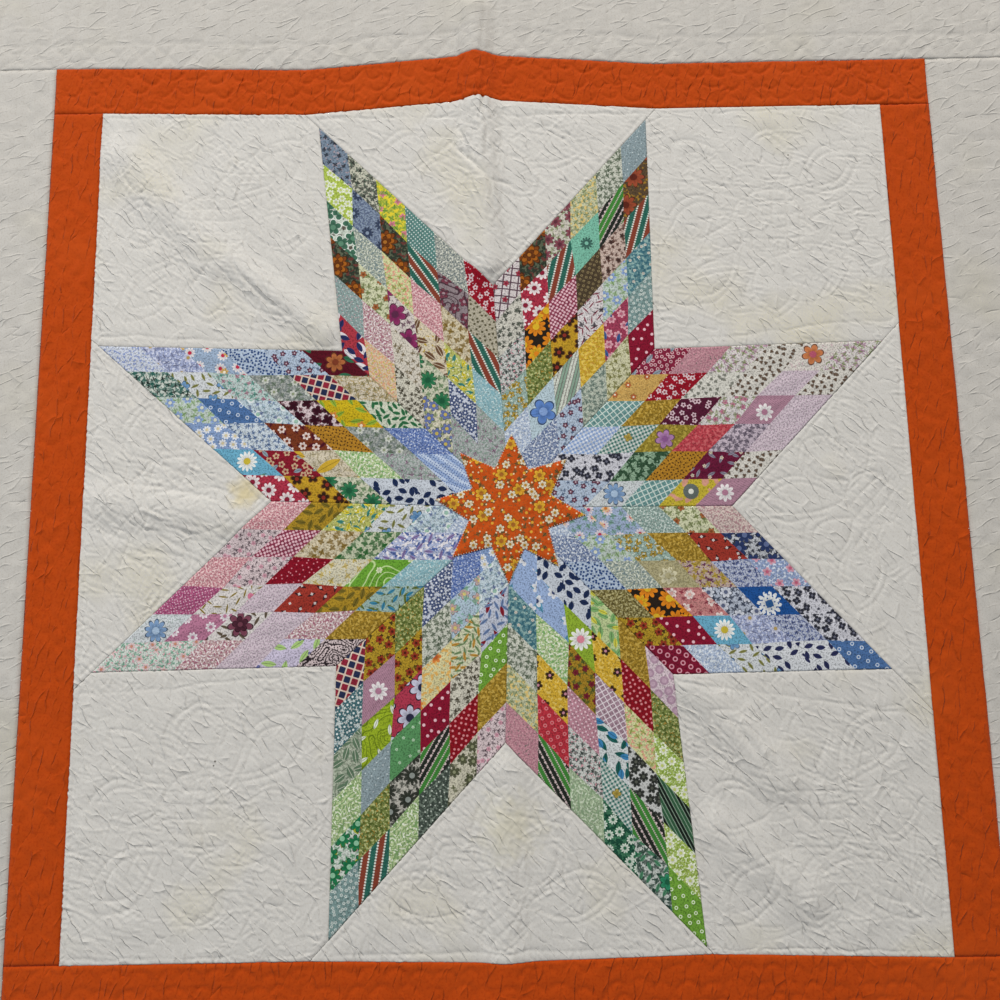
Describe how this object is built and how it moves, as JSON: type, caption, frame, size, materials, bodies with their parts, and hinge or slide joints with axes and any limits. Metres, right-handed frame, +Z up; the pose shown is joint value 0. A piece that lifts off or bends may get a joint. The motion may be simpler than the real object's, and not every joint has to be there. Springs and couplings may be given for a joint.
{
  "type": "pieced lone star quilt",
  "caption": "Quilted bed cover spread open: an eight-pointed star pieced from printed cotton diamonds on a cream ground, framed by an orange strip and a cream border.",
  "frame": {"origin": "on the surface that the quilt lies on, under the middle of its outline", "axes": "+Z up out of the face, +X to the right and +Y to the top of the face as it is seen from above"},
  "size_m": [1.7836, 1.8116, 0.021],
  "materials": {
    "cream": "matt cream cotton, hand quilted",
    "orange": "matt burnt orange cotton, hand quilted",
    "green_prints": "matt printed cotton scraps, mostly greens",
    "blue_prints": "matt printed cotton scraps, mostly blues",
    "pink_prints": "matt printed cotton scraps, mostly pinks"
  },
  "bodies": {
    "root": {"star_point_right_up": "pink_prints", "star_point_top_right": "green_prints", "star_point_top_left": "green_prints", "star_point_left_up": "blue_prints", "star_point_left_low": "pink_prints", "star_point_low_left": "green_prints", "star_point_low_right": "green_prints", "star_point_right_low": "blue_prints", "corner_square_top_right": "cream", "corner_square_top_left": "cream", "corner_square_low_left": "cream", "corner_square_low_right": "cream", "side_triangle_right": "cream", "side_triangle_top": "cream", "side_triangle_left": "cream", "side_triangle_bottom": "cream", "orange_strip_right": "orange", "orange_strip_top": "orange", "orange_strip_left": "orange", "orange_strip_bottom": "orange", "border_right": "cream", "border_top": "cream", "border_left": "cream", "border_bottom": "cream", "centre_star": "orange"}
  },
  "joints": []
}
